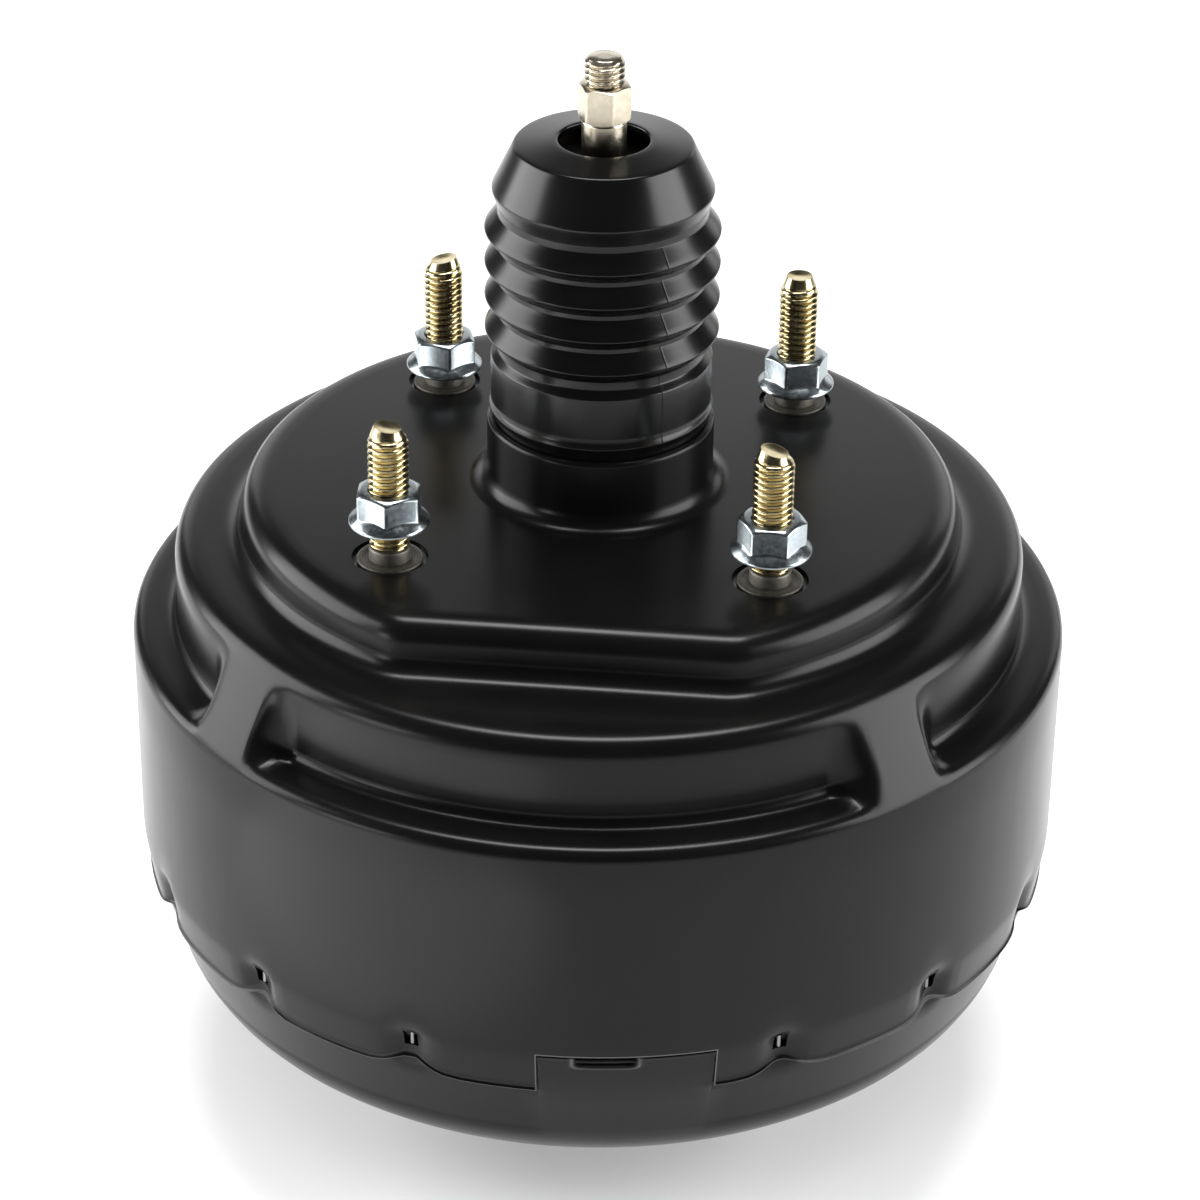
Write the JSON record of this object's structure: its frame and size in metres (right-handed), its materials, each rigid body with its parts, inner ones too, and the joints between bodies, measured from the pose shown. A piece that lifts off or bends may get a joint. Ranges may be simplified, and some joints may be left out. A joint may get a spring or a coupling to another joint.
{
  "type": "vacuum brake booster",
  "caption": "Round tandem vacuum brake booster with a stepped pressed shell, firewall studs, ribbed dust boot, pedal pushrod and master cylinder studs.",
  "frame": {"origin": "centre of the flat rear face that bolts to the firewall", "axes": "+Z along the booster's axis towards the pedal; -Y towards the flat side of the raised pad; X and Y along the stud rectangle's sides"},
  "size_m": [0.2286, 0.2286, 0.2742],
  "materials": {
    "black_paint": "satin electro-coat",
    "boot_rubber": "satin moulded",
    "yellow_zinc": "yellow chromate zinc plate",
    "pale_yellow_zinc": "pale yellow zinc plate",
    "clear_zinc": "clear zinc plate",
    "machined_steel": "turned",
    "plain_steel": "rolled sheet",
    "spring_steel": "oiled wire",
    "brown_phenolic": "moulded",
    "white_nylon": "moulded",
    "black_nylon": "moulded",
    "black_rubber": "moulded",
    "diaphragm_rubber": "fabric-backed",
    "filter_felt": "felt"
  },
  "bodies": {
    "housing": {"rear_shell": "black_paint", "front_shell": "black_paint", "stud_plate": "plain_steel", "stud_collars": "machined_steel", "firewall_studs": "yellow_zinc", "flange_nuts": "clear_zinc", "front_plate": "plain_steel", "master_cylinder_studs": "yellow_zinc", "front_seal": "black_rubber", "check_valve_grommet": "black_rubber", "check_valve": "black_nylon", "centre_plate": "plain_steel", "centre_seal": "black_rubber", "neck_bearing": "white_nylon", "neck_seal": "black_rubber", "boot": "boot_rubber"},
    "power_piston": {"valve_body": "brown_phenolic", "rear_piston": "plain_steel", "front_piston": "plain_steel", "rear_diaphragm": "diaphragm_rubber", "front_diaphragm": "diaphragm_rubber", "piston_retainer": "plain_steel", "reaction_disc": "black_rubber", "output_rod": "machined_steel", "output_rod_retainer": "plain_steel", "output_tip": "machined_steel", "air_filter": "filter_felt", "silencer": "filter_felt", "poppet_valve": "black_rubber", "poppet_retainer": "plain_steel", "poppet_spring": "spring_steel", "stop_key": "plain_steel", "return_spring": "spring_steel", "rod_spring": "spring_steel"},
    "plunger": {"plunger": "machined_steel"},
    "input_rod": {"input_rod": "pale_yellow_zinc", "spring_seat": "plain_steel"}
  },
  "joints": [
    {"name": "power_piston_slide", "type": "slide", "parent": "housing", "child": "power_piston", "axis": [0, 0, -1], "range_m": [0, 0.032], "stiffness_N_per_m": 3000, "springref_m": -0.02, "deforming": ["boot", "return_spring", "rear_diaphragm", "front_diaphragm"]},
    {"name": "plunger_slide", "type": "slide", "parent": "power_piston", "child": "plunger", "axis": [0, 0, -1], "range_m": [0, 0.0015], "stiffness_N_per_m": 2000, "springref_m": -0.003, "deforming": ["rod_spring"]},
    {"name": "rod_tilt", "type": "hinge", "parent": "plunger", "child": "input_rod", "pos_m": [0, 0, -0.02], "axis": [1, 0, 0], "range_deg": [-2, 2], "stiffness_Nm_per_rad": 2}
  ]
}
